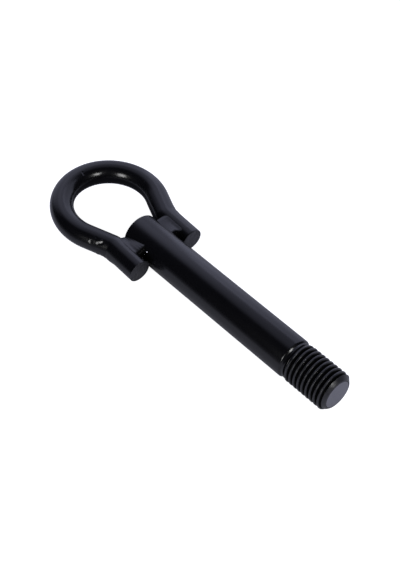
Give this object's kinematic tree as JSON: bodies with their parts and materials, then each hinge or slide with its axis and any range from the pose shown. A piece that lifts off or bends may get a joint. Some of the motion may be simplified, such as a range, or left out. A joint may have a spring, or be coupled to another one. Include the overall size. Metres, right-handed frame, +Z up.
{
  "type": "tow eye",
  "caption": "Screw-in tow eye: a round bar bent into a loop and welded beside a long plain shank that ends in a coarse thread, all painted black.",
  "frame": {"origin": "on the shank's axis, where the full thread begins", "axes": "+X along the shank towards the threaded tip, +Z up as the part lies on its shank with the eye level from side to side, +Y completes the right-hand set"},
  "size_m": [0.1883, 0.061, 0.02],
  "materials": {
    "black_paint": "semi-gloss black paint",
    "painted_weld": "semi-gloss black paint over a weld bead"
  },
  "bodies": {
    "root": {"shank": "black_paint", "eye": "black_paint", "left_weld": "painted_weld", "right_weld": "painted_weld"}
  },
  "joints": []
}
